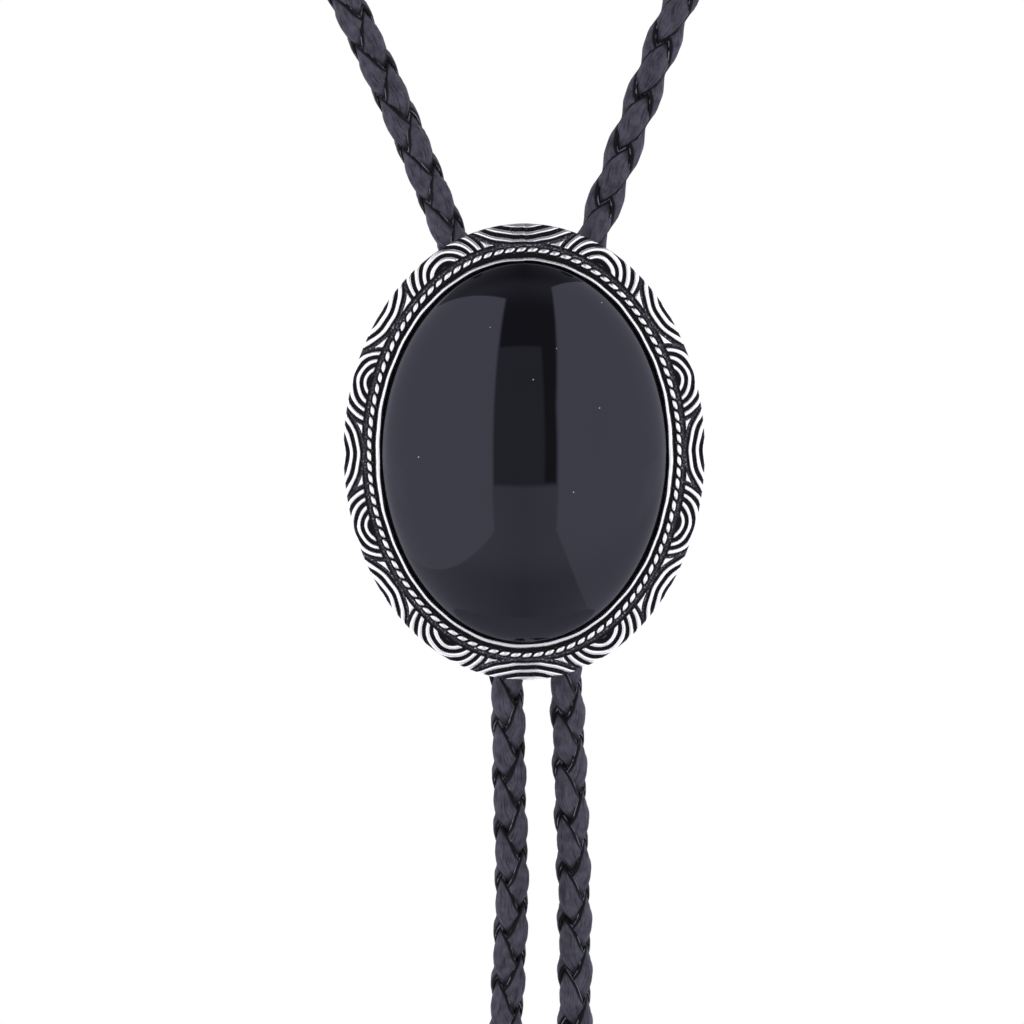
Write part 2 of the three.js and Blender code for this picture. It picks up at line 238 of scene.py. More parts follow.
def lofted(name, rings, start=None, end=None, closed=False):
    """A skin over rings of points, given as an array of rings by points by three. Each ring is
    closed on itself and joined to the next by four-cornered faces. A start or end point closes that
    end with a fan, and closed joins the last ring to the first. The faces are turned outward by the
    sign of the volume."""
    count, around = rings.shape[:2]
    points = rings.reshape(-1, 3)
    ring = np.arange(count if closed else count - 1)
    column = np.arange(around)
    here = ring[:, None] * around + column
    beside = ring[:, None] * around + (column + 1) % around
    above = ((ring + 1) % count)[:, None] * around + column
    above_beside = ((ring + 1) % count)[:, None] * around + (column + 1) % around
    quads = np.stack([here, beside, above_beside, above], axis=-1).reshape(-1, 4)
    fans = []
    for pole, first, turned in ((start, 0, True), (end, (count - 1) * around, False)):
        if pole is None:
            continue
        tip = np.full(around, len(points))
        points = np.vstack([points, pole])
        a, b = first + column, first + (column + 1) % around
        fans.append(np.stack([tip, b, a] if turned else [tip, a, b], axis=-1))
    triangles = np.vstack(fans) if fans else np.zeros((0, 3), int)
    corners = np.vstack([quads[:, [0, 1, 2]], quads[:, [0, 2, 3]], triangles])
    p = points[corners]
    volume = np.einsum("ij,ij->i", p[:, 0], np.cross(p[:, 1], p[:, 2])).sum()
    if volume < 0:
        quads, triangles = quads[:, ::-1], triangles[:, ::-1]
    mesh = bpy.data.meshes.new(name)
    mesh.from_pydata(points.tolist(), [], quads.tolist() + triangles.tolist())
    mesh.polygons.foreach_set("use_smooth", np.ones(len(mesh.polygons), bool))
    mesh.update()
    piece = bpy.data.objects.new(name, mesh)
    bpy.context.scene.collection.objects.link(piece)
    return piece


def joined(name, parts):
    """Several objects of one material made into one piece."""
    for part in bpy.context.selected_objects:
        part.select_set(False)
    for part in parts:
        part.select_set(True)
    bpy.context.view_layer.objects.active = parts[0]
    bpy.ops.object.join()
    piece = bpy.context.view_layer.objects.active
    piece.name = name
    piece.data.name = name
    return piece


def point_attribute(piece, name, values):
    """Stores one number for each vertex, for the materials to read."""
    attribute = piece.data.attributes.new(name, "FLOAT", "POINT")
    attribute.data.foreach_set("value", np.asarray(values, np.float32).ravel())


def smoothstep(low, high, value):
    share = np.clip((value - low) / (high - low), 0, 1)
    return share * share * (3 - 2 * share)


# The casting


def oval(turn, outward):
    """A point of the border as x and z from the slide's centre: the stone's ellipse moved outward
    along its normal. The turn starts at the top and runs clockwise."""
    sine, cosine = np.sin(turn), np.cos(turn)
    normal = np.stack([stone_half_height * sine, stone_half_width * cosine], axis=-1)
    normal /= np.linalg.norm(normal, axis=-1, keepdims=True)
    edge = np.stack([stone_half_width * sine, stone_half_height * cosine], axis=-1)
    return edge + np.asarray(outward)[..., None] * normal


def length_table(outward, samples=7200):
    """Turns and the distances run to them along the border's line at one distance outward."""
    turns = np.linspace(0, TAU, samples + 1)
    points = oval(turns, np.full(samples + 1, outward))
    steps = np.linalg.norm(np.diff(points, axis=0), axis=1)
    return turns, np.concatenate([[0], np.cumsum(steps)])


lay_turns, lay_lengths = length_table(LAY_LINE)
rope_turns, rope_lengths = length_table(ROPE_MIDDLE)


def ground_height(outward):
    """The casting's ground falls from the shoulder to the rim in a convex curve, and rounds over
    there."""
    share = (outward - WIRE_MIDDLE) / (rim_outward - WIRE_MIDDLE)
    slope = RIM_HEIGHT + (SHOULDER - RIM_HEIGHT) * (1 - np.clip(share, 0, 1) ** 2)
    over = np.clip((outward - rim_outward + EDGE_ROUND) / EDGE_ROUND, 0, 1)
    return slope - EDGE_ROUND * (1 - np.sqrt(1 - over**2 * 0.999))


def ridge_profile(distance, half_width):
    """The rise of a round-topped ridge at a distance from its middle line, as a share of its
    height."""
    share = np.clip(np.abs(distance) / half_width, 0, 1)
    return (1 - share**2.6) ** 0.62


def nearest_group(along, table, whole):
    """For each distance along the border, the distance past the nearest group of a table, and that
    group's centre, first ridge, pitch and squash. For arches the number of ridges on the distance's
    side follows."""
    places, rows = [], []
    for quarter in range(4):
        mirrored = quarter % 2 == 1
        for share, *rest in table:
            places.append((quarter + (1 - share if mirrored else share)) * whole / 4 + PATTERN_TURN)
            rows.append(rest[:4] + (rest[:3:-1] if mirrored else rest[4:]))
    gaps = (along[:, None] - np.array(places) + whole / 2) % whole - whole / 2
    nearest = np.abs(gaps).argmin(axis=1)
    gap = gaps[np.arange(len(along)), nearest]
    centre, first, pitch, squash, *counts = np.array(rows)[nearest].T[:, :, None]
    count = [np.where(gap[:, None] < 0, *counts)] if counts else []
    return gap[:, None], centre * MM, first * MM, pitch * MM, squash, *count


def pattern_relief(along, outward):
    """The arc pattern's rise and its recesses at distances along the lay line and outward. Bowls
    are nested ellipses about centres beyond the rim, arches are nested ellipses about centres near
    the rope, and what lies outside both groups is raised as a filler. A recess is the black foot of
    a ridge."""
    whole = lay_lengths[-1]
    outward = outward[None, :]
    waver = 0.025 * MM * (np.sin(along * 2900) + np.sin(along * 1130 + 2))[:, None]
    gap, centre, first, bowl_pitch, squash = nearest_group(along, BOWLS, whole)
    bowl = first - np.hypot(gap, (outward - centre) / squash) + waver
    gap, centre, first, arch_pitch, squash, count = nearest_group(along, ARCHES, whole)
    arch = np.hypot(gap, (outward - centre) / squash) - first + waver
    bowl_off = np.abs(bowl - np.maximum(np.round(bowl / bowl_pitch), 0) * bowl_pitch)
    arch_off = np.abs(arch - np.minimum(np.round(arch / arch_pitch), count - 1) * arch_pitch)
    bowl_inside = bowl + bowl_pitch - RIDGE_HALF_WIDTH + FILLER_GROOVE
    arch_inside = count * arch_pitch - RIDGE_HALF_WIDTH - arch
    in_bowl = bowl_inside > np.maximum(arch_inside, 0)
    in_arch = ~in_bowl & (arch_inside > 0)
    outside = np.maximum(bowl_inside, arch_inside)
    off = np.where(in_bowl, bowl_off, np.where(in_arch, arch_off, RIDGE_HALF_WIDTH + outside))
    filler = smoothstep(0, 0.1 * MM, -outside)
    rise = np.where(in_bowl | in_arch, ridge_profile(off, RIDGE_HALF_WIDTH), filler)
    within_arch = in_arch & (arch < -arch_pitch / 2)
    rise = np.where(within_arch, LOW_CENTRE * rise, rise)
    foot = smoothstep(PATTERN_INNER - 0.07 * MM, PATTERN_INNER + 0.1 * MM, outward)
    beyond_foot = np.maximum(PATTERN_INNER - outward, 0)
    from_edge = np.hypot(np.maximum(off - RIDGE_HALF_WIDTH, 0), beyond_foot)
    recess = 1 - smoothstep(0.3 * RECESS_REACH, RECESS_REACH, from_edge)
    return rise * foot, recess


def rope_relief(along, outward):
    """The rise of the rope line's beads and their black surround. A bead is a rounded oblong whose
    ends lean outward going clockwise."""
    pitch = rope_lengths[-1] / ROPE_BEADS
    along = (along - BEAD_START) % rope_lengths[-1]
    number = np.floor(along / pitch)
    beyond = (outward - ROPE_MIDDLE)[None, :]
    beside = (along - (number + 0.5) * pitch)[:, None] - beyond * np.tan(BEAD_SLANT)
    uneven = 1 + 0.06 * np.sin(number * 2.4)[:, None]
    reach = np.abs(2 * beside / (BEAD_LENGTH * uneven)) ** 3 + np.abs(2 * beyond / BEAD_WIDTH) ** 3
    return np.sqrt(np.clip(1 - reach, 0, 1)), 1 - smoothstep(2, 4, reach)


def wire_relief(along, outward):
    """The bezel wire's rise, a half round that wavers a little along its length. At the oval's four
    ends it is pressed inward, and at the sides and the bottom it is also spread broader."""
    turn = TAU * along / rope_lengths[-1]
    beside = np.abs(np.sin(turn))
    pressed = np.maximum(beside, np.abs(np.cos(turn))) ** 24
    spread = np.maximum(beside, -np.cos(turn)) ** 24
    waver = 0.02 * MM * (np.sin(along * 1700) + np.sin(along * 610 + 1))
    middle = WIRE_MIDDLE + waver - WIRE_SIDEWAYS * np.cos(2 * turn) - WIRE_END_SHIFT * pressed
    half_width = WIRE_HALF_WIDTH + WIRE_END_WIDENING * spread
    share = np.clip(np.abs(outward[None, :] - middle[:, None]) / half_width[:, None], 0, 1)
    return np.sqrt(1 - share**2.6)


def casting_ring(turns, outward, height):
    """Points of the casting: one ring of columns for each distance outward, at a height above the
    back."""
    place = oval(turns[None, :], np.broadcast_to(outward[:, None], (len(outward), len(turns))))
    return np.stack(
        [
            slide_centre[0] + place[..., 0],
            frame_back_y - height,
            slide_centre[2] + place[..., 1],
        ],
        axis=-1,
    )


def cast_border():
    """The border: its ground with the arc pattern on it, the rim's edge, and a flat back."""
    columns = CASTING_COLUMNS
    along = np.arange(columns) * lay_lengths[-1] / columns
    turns = np.interp(along, lay_lengths, lay_turns)
    rows = np.concatenate(
        [
            np.linspace(ROPE_EDGE, PATTERN_INNER - 0.1 * MM, 5),
            np.linspace(PATTERN_INNER - 0.05 * MM, rim_outward - EDGE_ROUND, 29),
            rim_outward - EDGE_ROUND * (1 - np.sin(np.linspace(0.15, 1, 7) * np.pi / 2)),
        ]
    )
    relief, recess = (part.T for part in pattern_relief(along, rows))
    fade = smoothstep(0, 0.12 * MM, rim_outward - rows)[:, None]
    height = ground_height(rows)[:, None] + RIDGE_RISE * relief * (0.35 + 0.65 * fade)
    top = casting_ring(turns, rows, height)
    edge_rows = np.array([rim_outward, rim_outward - 0.12 * MM, ROPE_EDGE])
    edge_height = np.array([[0.25], [0], [0]]) * MM * np.ones((1, columns))
    back = casting_ring(turns, edge_rows, edge_height)
    piece = lofted("cast_border", np.concatenate([top, back]), closed=True)
    point_attribute(piece, "relief", np.concatenate([relief, np.full((3, columns), 0.75)]))
    point_attribute(piece, "recess", np.concatenate([recess, np.zeros((3, columns))]))
    return piece


def rope_bezel():
    """The wire round the stone and the rope line, with the dish that the stone sits in."""
    columns = CASTING_COLUMNS
    along = np.arange(columns) * rope_lengths[-1] / columns
    turns = np.interp(along, rope_lengths, rope_turns)
    rows = np.concatenate([np.linspace(0.02, 0.72, 19) * MM, np.linspace(0.8 * MM, ROPE_EDGE, 21)])
    wire = wire_relief(along, rows).T
    rope, surround = (part.T for part in rope_relief(along, rows))
    # Black at the wire's sides: oxide at the wire's foot toward the rope, and painted shade in the gap
    # between the stone and the wire.
    wire_oxide_and_shade = smoothstep(0.9 * MM, 0.8 * MM, rows)[:, None]
    height = ground_height(rows)[:, None] + WIRE_RISE * wire + ROPE_RISE * rope
    top = casting_ring(turns, rows, height)
    dish = casting_ring(turns, np.full(1, rows[0]), np.full((1, columns), DISH_FLOOR))
    back = casting_ring(turns, np.array([ROPE_EDGE]), np.zeros((1, columns)))
    centre_front = np.array([slide_centre[0], frame_back_y - DISH_FLOOR, slide_centre[2]])
    centre_back = np.array([slide_centre[0], frame_back_y, slide_centre[2]])
    rings = np.concatenate([dish, top, back])
    piece = lofted("rope_bezel", rings, start=centre_front, end=centre_back)
    relief = np.maximum(wire, rope)
    recess = np.maximum(surround, wire_oxide_and_shade)
    for name, values, back_value in (("relief", relief, 0.75), ("recess", recess, 0.0)):
        ring = np.ones((1, columns))
        values = np.concatenate([0 * ring, values, back_value * ring])
        point_attribute(piece, name, np.append(values.ravel(), [0, back_value]))
    return piece


# The stone


def polished_stone():
    """A dome over the stone's oval: its height is the rise times the square root of one minus the
    square of the distance from the centre, as a share of the oval. Below it are a short wall and a
    flat back."""
    around, rings = 256, 96
    turn = np.arange(around) / around * TAU
    lift = np.linspace(0, np.pi / 2, rings + 1)[:-1]
    share = np.cos(lift)
    height = STONE_WALL + (stone_depth - STONE_WALL) * np.sin(lift)
    back_bevel = 0.3 * MM
    share = np.concatenate([[1 - back_bevel / stone_half_width, 1], share])
    height = np.concatenate([[0, back_bevel], height])
    x = slide_centre[0] + stone_half_width * share[:, None] * np.sin(turn)
    z = slide_centre[2] + stone_half_height * share[:, None] * np.cos(turn)
    y = np.broadcast_to((stone_back_y - height)[:, None], x.shape)
    top = np.array([slide_centre[0], stone_low[1], slide_centre[2]])
    back = np.array([slide_centre[0], stone_back_y, slide_centre[2]])
    return lofted("polished_stone", np.stack([x, y, z], axis=-1), start=back, end=top)


# The cord


def route_line(route, step):
    """A centripetal Catmull-Rom curve through the route's points, sampled at even steps of its
    length. Its ends run straight on, by a mirrored point beyond each."""
    points = np.array(route, float) * MM + [slide_centre[0], cord_y, slide_centre[2]]
    before, after = 2 * points[0] - points[1], 2 * points[-1] - points[-2]
    p = np.vstack([before, points, after])
    knots = np.sqrt(np.linalg.norm(np.diff(p, axis=0), axis=1))[:, None]
    k0, k1, k2 = knots[:-2], knots[1:-1], knots[2:]
    p0, p1, p2, p3 = p[:-3], p[1:-2], p[2:-1], p[3:]
    leave = ((p1 - p0) / k0 - (p2 - p0) / (k0 + k1) + (p2 - p1) / k1) * k1
    arrive = ((p2 - p1) / k1 - (p3 - p1) / (k1 + k2) + (p3 - p2) / k2) * k1
    t = np.linspace(0, 1, 60, endpoint=False)[None, :, None]
    p1, p2, leave, arrive = (x[:, None, :] for x in (p1, p2, leave, arrive))
    rise = -3 * p1 + 3 * p2 - 2 * leave - arrive
    turn = 2 * p1 - 2 * p2 + leave + arrive
    fine = (p1 + leave * t + rise * t**2 + turn * t**3).reshape(-1, 3)
    fine = np.vstack([fine, points[-1]])
    run = np.concatenate([[0], np.cumsum(np.linalg.norm(np.diff(fine, axis=0), axis=1))])
    at = np.linspace(0, run[-1], max(2, int(round(run[-1] / step)) + 1))
    line = np.stack([np.interp(at, run, fine[:, axis]) for axis in range(3)], axis=1)
    return line, at


def carried_frame(line, at):
    """Two directions square to a line that twist about it as little as they can. The first faces
    the front at both ends, so the last turn is spread evenly along the line."""
    tangent = np.gradient(line, axis=0)
    tangent /= np.linalg.norm(tangent, axis=1, keepdims=True)
    side = np.empty_like(line)
    front = np.array([0.0, -1.0, 0.0])
    side[0] = front
    for k in range(len(line)):
        turned = side[max(k - 1, 0)] - tangent[k] * (side[max(k - 1, 0)] @ tangent[k])
        side[k] = turned / np.linalg.norm(turned)
    across = np.cross(tangent, side)
    turn = (np.arctan2(front @ across[-1], front @ side[-1]) * at / at[-1])[:, None]
    return np.cos(turn) * side + np.sin(turn) * across, np.cos(turn) * across - np.sin(turn) * side


def lace(line, turns, phase, side, across, hand, start, width):
    """One lace of the braid. It winds about the cord once in two leaf pitches, and lies over the
    laces of the other hand twice a turn. It turns slowly while it lies over and quickly while it
    passes under, which makes the long leaves, and its distance from the cord's middle swings by the
    cosine of twice its run. Its section is a flat rounded oblong, bent round the cord."""
    run = np.pi * (turns + start - (0.5 if hand < 0 else 0))
    angle = phase + (np.pi / 2 if hand < 0 else 0) + hand * (run - LEAF_REST * np.sin(2 * run))
    swing = np.cos(2 * run)
    over = np.sign(swing) * np.abs(swing) ** 0.75
    outermost = BRAID_RADIUS - LACE_THICKNESS / 2
    radius = outermost * (0.8 + 0.2 * over)
    out = np.cos(angle)[:, None] * side + np.sin(angle)[:, None] * across
    middle = line + radius[:, None] * out
    tangent = np.gradient(middle, axis=0)
    tangent /= np.linalg.norm(tangent, axis=1, keepdims=True)
    out = out - tangent * np.einsum("ij,ij->i", out, tangent)[:, None]
    out /= np.linalg.norm(out, axis=1, keepdims=True)
    broad = np.cross(tangent, out)
    corner = np.arange(LACE_SIDES) / LACE_SIDES * TAU
    flat = np.sign(np.cos(corner)) * np.abs(np.cos(corner)) ** 0.7
    thick = np.sign(np.sin(corner)) * np.abs(np.sin(corner)) ** 0.8
    bend = (0.65 + 0.25 * over)[:, None] / outermost
    reach = flat * width / 2 * (0.9 + 0.1 * over)[:, None]
    arc = reach * bend
    sideways = np.sin(arc) / bend
    height = (np.cos(arc) - 1) / bend + thick * LACE_THICKNESS / 2
    section = sideways[..., None] * broad[:, None, :] + height[..., None] * out[:, None, :]
    return middle[:, None, :] + section, over


def braid(name, line, at, width, end_phases, end_turns):
    """A round braid of four laces along a line, two laces of each hand, on a round core that fills
    the cord's middle. The phases are the angles of one pair's columns from the front at the line's
    two ends, and the turns are the leaves counted there. Each lace keeps its own place across and
    along it."""
    side, across = carried_frame(line, at)
    turns = np.interp(at, (0, at[-1]), end_turns)
    phase = np.interp(at, (0, at[-1]), end_phases)
    corner = np.arange(LACE_SIDES) / LACE_SIDES * TAU
    corner_side, corner_across = np.cos(corner)[:, None], np.sin(corner)[:, None]
    round_about = corner_side * side[:, None, :] + corner_across * across[:, None, :]
    strands = [(line[:, None, :] + CORE_RADIUS * round_about, -np.ones(len(line)), 0, 0)]
    for hand in (1, -1):
        for start in (0, 1):
            strands.append((*lace(line, turns, phase, side, across, hand, start, width), hand, start))
    parts = []
    for rings, over, hand, start in strands:
        part = lofted(f"{name}_strand", rings, start=rings[0].mean(axis=0), end=rings[-1].mean(axis=0))
        shape = rings.shape[:2]
        fields = {
            "lace_across": np.broadcast_to(hand * np.cos(corner), shape),
            "lace_along": np.broadcast_to(at[:, None] + (2 * start + hand) * 0.37, shape),
            "lace_over": np.broadcast_to(over[:, None], shape),
        }
        for field, values in fields.items():
            point_attribute(part, field, np.append(values.ravel(), [values[0, 0], values[-1, 0]]))
        parts.append(part)
    return joined(name, parts)


# The tips


def cord_tip(name, node):
    """A plain turned tip: a mouth ring, then a long taper to a round end. Its outline is a table of
    shares of the node's radius and length, smoothed by rounding its corners."""
    low, high = (np.array(corner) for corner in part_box(node))
    radius, length = (high[0] - low[0]) / 2, high[2] - low[2]
    outline = np.array(
        [
            (0.84, 0),
            (0.9, 0.002),
            (0.98, 0.012),
            (1, 0.025),
            (1, 0.062),
            (0.97, 0.075),
            (0.89, 0.085),
            (0.875, 0.1),
            (0.86, 0.2),
            (0.82, 0.35),
            (0.7, 0.65),
            (0.58, 0.93),
            (0.54, 0.97),
            (0.44, 0.987),
            (0.25, 0.997),
        ]
    )
    around = 64
    turn = np.arange(around) / around * TAU
    x = (low[0] + high[0]) / 2 + radius * outline[:, :1] * np.cos(turn)
    y = (low[1] + high[1]) / 2 + radius * outline[:, :1] * np.sin(turn)
    z = np.broadcast_to(high[2] - length * outline[:, 1:], x.shape)
    middle = (low + high) / 2
    mouth = np.array([middle[0], middle[1], high[2]])
    end = np.array([middle[0], middle[1], low[2]])
    return lofted(name, np.stack([x, y, z], axis=-1), start=mouth, end=end)


# Materials


def linear(code):
    """An sRGB hex colour as the linear colour that a shader reads."""
    value = np.array([int(code[k : k + 2], 16) for k in (1, 3, 5)]) / 255
    value = np.where(value <= 0.04045, value / 12.92, ((value + 0.055) / 1.055) ** 2.4)
    return (*value.tolist(), 1.0)


def node(tree, kind, settings=None, **inputs):
    """Adds a node, sets its properties, and sets or links its inputs by name or number."""
    made = tree.nodes.new(kind)
    for name, value in (settings or {}).items():
        setattr(made, name, value)
    for name, value in inputs.items():
        socket = made.inputs[int(name[1:])] if name[1:].isdigit() else made.inputs[name.replace("_", " ")]
        if isinstance(value, bpy.types.NodeSocket):
            tree.links.new(value, socket)
        else:
            socket.default_value = value
    return made


def attribute(tree, name):
    """One of the numbers stored on the vertices."""
    return node(tree, "ShaderNodeAttribute", {"attribute_name": name}).outputs["Fac"]


def noise(tree, place, scale, detail):
    return node(tree, "ShaderNodeTexNoise", Vector=place, Scale=scale, Detail=detail).outputs["Fac"]


def maths(tree, operation, first, second=0.0, third=0.0):
    made = node(tree, "ShaderNodeMath", {"operation": operation}, _0=first, _1=second, _2=third)
    return made.outputs[0]


def ramp(tree, value, stops):
    """A colour ramp over a value: pairs of a place and a hex colour."""
    made = node(tree, "ShaderNodeValToRGB", _0=value)
    elements = made.color_ramp.elements
    for k, (place, code) in enumerate(stops):
        stop = elements[k] if k < 2 else elements.new(place)
        stop.position = place
        stop.color = linear(code)
    return made.outputs["Color"]


def new_material(name):
    material = bpy.data.materials.new(name)
    material.use_nodes = True
    material.node_tree.nodes.clear()
    return material, material.node_tree


def finish_material(tree, shader):
    node(tree, "ShaderNodeOutputMaterial", Surface=shader.outputs[0])


def mixed(tree, factor, first, second):
    """A colour between two, which are hex colours or sockets."""
    made = node(tree, "ShaderNodeMix", {"data_type": "RGBA"}, Factor=factor)
    for number, value in ((6, first), (7, second)):
        if isinstance(value, str):
            made.inputs[number].default_value = linear(value)
        else:
            tree.links.new(value, made.inputs[number])
    return made.outputs[2]


def remap(tree, value, low, high, first=0.0, last=1.0):
    """A value between two limits mapped to another span, with soft ends."""
    made = node(
        tree,
        "ShaderNodeMapRange",
        {"interpolation_type": "SMOOTHSTEP"},
        Value=value,
        From_Min=low,
        From_Max=high,
        To_Min=first,
        To_Max=last,
    )
    return made.outputs[0]


def antiqued_silver():
    """Silver plate on a zinc casting, blackened and then rubbed back: near-white metal on the tops
    of the relief, grey speckled ground between, and black oxide at the feet of the ridges, which
    gives the border its drawn look."""
    material, tree = new_material("antiqued_silver_plate")
    place = node(tree, "ShaderNodeTexCoord").outputs["Object"]
    relief = attribute(tree, "relief")
    recess = attribute(tree, "recess")
    grit = noise(tree, place, 1 / (0.2 * MM), 3.0)
    ground = ramp(tree, grit, [(0.38, "#232225"), (0.5, "#39373B"), (0.6, "#545257"), (0.7, "#B8B6BA")])
    # The black is oxide at the feet of the ridges and beads, and painted shade in the gap between the
    # stone and the wire.
    dark = mixed(tree, recess, ground, "#060607")
    rubbed = remap(tree, maths(tree, "MULTIPLY_ADD", grit, 0.3, relief), 0.45, 0.72)
    bump = node(tree, "ShaderNodeBump", Strength=0.3, Distance=0.03 * MM, Height=grit)
    shader = node(
        tree,
        "ShaderNodeBsdfPrincipled",
        Base_Color=mixed(tree, rubbed, dark, "#F9F7F0"),
        Metallic=rubbed,
        Roughness=remap(tree, rubbed, 0.0, 1.0, 0.6, 0.27),
        Specular_IOR_Level=0.15,
        Normal=bump.outputs[0],
    )
    finish_material(tree, shader)
    return material


def black_stone():
    """Polished black onyx: an almost black body under a mirror gloss, with a few fine pale pits."""
    material, tree = new_material("polished_black_onyx")
    place = node(tree, "ShaderNodeTexCoord").outputs["Object"]
    cloud = noise(tree, place, 1 / (9 * MM), 2.0)
    body = ramp(tree, cloud, [(0.3, "#060607"), (0.7, "#0B0B0E")])
    spread = node(tree, "ShaderNodeTexVoronoi", Vector=place, Scale=1 / (3 * MM)).outputs["Distance"]
    colour = mixed(tree, remap(tree, spread, 0.035, 0.02), body, "#A0A0A8")
    tint = linear("#E6E6F6")
    shader = node(
        tree, "ShaderNodeBsdfPrincipled", Base_Color=colour, Roughness=0.03, IOR=1.52, Specular_Tint=tint
    )
    finish_material(tree, shader)
    return material


def braided_leather():
    """Dyed cowhide lace, semi-matt, with fine grain on the flat and lengthwise creases where it bends
    over its neighbour. Painted shade darkens the creases, a band along each lace's edges, and, near
    black, the lace where it passes under; the paler cut edges are partly their own colour and partly a
    painted highlight."""
    material, tree = new_material("black_cowhide_lace")
    place = node(tree, "ShaderNodeTexCoord").outputs["Object"]
    across = attribute(tree, "lace_across")
    along = attribute(tree, "lace_along")
    over = attribute(tree, "lace_over")
    edge = maths(tree, "ABSOLUTE", across)
    slant = maths(tree, "MULTIPLY_ADD", along, 0.3 / MM, across)
    lace_place = node(tree, "ShaderNodeCombineXYZ", _0=slant, _1=along).outputs[0]
    crease_scale = (11.0, 1 / (1.8 * MM), 1.0)
    stretched = node(tree, "ShaderNodeMapping", Vector=lace_place, Scale=crease_scale).outputs[0]
    creases = noise(tree, stretched, 1.0, 3.0)
    # Painted shade: the colour is darkened along the lengthwise creases, where shade falls in the
    # wrinkles.
    painted_crease_shade = remap(tree, creases, 0.52, 0.3, 0.0, 0.75)
    grain = noise(tree, place, 1 / (0.16 * MM), 4.0)
    mottle = noise(tree, place, 1 / (0.9 * MM), 3.0)
    body = ramp(tree, mottle, [(0.3, "#37363C"), (0.7, "#504F56")])
    crease_shaded_body = mixed(tree, painted_crease_shade, body, "#141317")
    # Painted shade: near-black colour where the lace passes under its neighbours, standing in for the
    # shade between the laces.
    painted_under_shade = mixed(tree, remap(tree, over, -0.9, -0.3), "#040405", crease_shaded_body)
    # Painted shade: a dark band along each lace's edges, standing in for the shade where the laces meet.
    painted_edge_shade = mixed(tree, remap(tree, edge, 0.72, 0.87), painted_under_shade, "#040405")
    # The pale edge, in patches: partly the cut edge's own paler colour, partly a painted highlight of
    # light catching the edge.
    chance = remap(tree, mottle, 0.46, 0.62, 0.0, 0.5)
    cut_edge_and_highlight = maths(tree, "MULTIPLY", remap(tree, edge, 0.955, 1.0), chance)
    colour = mixed(tree, cut_edge_and_highlight, painted_edge_shade, "#B4B4BE")
    low = node(tree, "ShaderNodeBump", Strength=0.85, Distance=0.16 * MM, Height=creases)
    fine = {"Strength": 0.4, "Distance": 0.03 * MM, "Height": grain, "Normal": low.outputs[0]}
    bump = node(tree, "ShaderNodeBump", **fine)
    shader = node(
        tree,
        "ShaderNodeBsdfPrincipled",
        Base_Color=colour,
        Roughness=remap(tree, grain, 0.3, 0.7, 0.55, 0.72),
        IOR=1.5,
        Specular_IOR_Level=0.16,
        Normal=bump.outputs[0],
    )
    finish_material(tree, shader)
    return material


def satin_plate():
    """Satin nickel plate on the clasp and the tips: even, pale, with fine lengthwise brushing."""
    material, tree = new_material("satin_nickel_plate")
    place = node(tree, "ShaderNodeTexCoord").outputs["Object"]
    line_scale = (1 / (0.2 * MM), 1 / (0.2 * MM), 1 / (6 * MM))
    brushed = node(tree, "ShaderNodeMapping", Vector=place, Scale=line_scale)
    lines = noise(tree, brushed.outputs[0], 1.0, 2.0)
    colour = ramp(tree, lines, [(0.3, "#B4B4B8"), (0.7, "#CFCFD3")])
    rough = node(tree, "ShaderNodeMapRange", Value=lines, To_Min=0.25, To_Max=0.42)
    bump = node(tree, "ShaderNodeBump", Strength=0.2, Distance=0.01 * MM, Height=lines)
    shader = node(
        tree,
        "ShaderNodeBsdfPrincipled",
        Base_Color=colour,
        Metallic=1.0,
        Roughness=rough.outputs[0],
        Normal=bump.outputs[0],
    )
    finish_material(tree, shader)
    return material


# The pieces


def place_piece(piece, material, slot, *nodes):
    """Gives a piece its material, its body and the solids that it stands for."""
    piece.data.materials.clear()
    piece.data.materials.append(material)
    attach(piece, "root")
    if nodes:
        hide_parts(*nodes)


silver = antiqued_silver()
leather = braided_leather()
plate = satin_plate()

place_piece(cast_border(), silver, "cast_silver", "slide_frame")
place_piece(rope_bezel(), silver, "cast_silver")
place_piece(polished_stone(), black_stone(), "black_stone", "cabochon")

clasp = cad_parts["clasp"]
clasp.data.materials.clear()
clasp.data.materials.append(plate)

neck_line, neck_at = route_line([*LEFT_RISE, NAPE, *RIGHT_RISE[::-1]], LOOP_STEP)
neck_turns = (LOOP_FIRST_TURN, LOOP_FIRST_TURN + LOOP_LEAVES)
neck_braid = braid("neck_braid", neck_line, neck_at, LOOP_LACE_WIDTH, (np.pi / 4, 0), neck_turns)
place_piece(neck_braid, leather, "braided_leather", "neck_cord")

for side, route, lean, first_turn in HANGING_ENDS:
    tip = cord_tip(f"{side}_turned_tip", f"{side}_tip")
    place_piece(tip, plate, "tip_metal", f"{side}_tip")
    line, at = route_line(route, HANGING_STEP)
    phases = (-np.pi / 4 - lean, -np.pi / 4 - lean)
    turns = (first_turn, first_turn + at[-1] / HANGING_LEAF_PITCH)
    hanging = braid(f"{side}_hanging_braid", line, at, HANGING_LACE_WIDTH, phases, turns)
    place_piece(hanging, leather, "braided_leather", f"{side}_end")


# The studio

FLOOR_DROP = 0.3
FLOOR_RADIUS = 0.22

# The map of the light: where the edges of the room's parts are, sideways or upward on it
LEFT_BOX_SIDE = -0.08
RIGHT_BOX_SIDE = 0.088
TABLE_EDGE = -0.04
PANEL_SIDE = 0.056
PANEL_TOP = 0.2
CEILING_EDGE = 0.4
FAR_CEILING_EDGE = 0.6
BACKDROP_EDGE = 1.35

# Levels of light, as shares of a soft box's. The table's are of its far and near parts.
BOX_STRENGTH = 1.5
GAP_LEVEL = 0.09
PANEL_LEVEL = 0.29
TABLE_LEVELS = (0.63, 0.43)
CEILING_LEVEL = 0.12
FAR_CEILING_DIMMING = -0.11


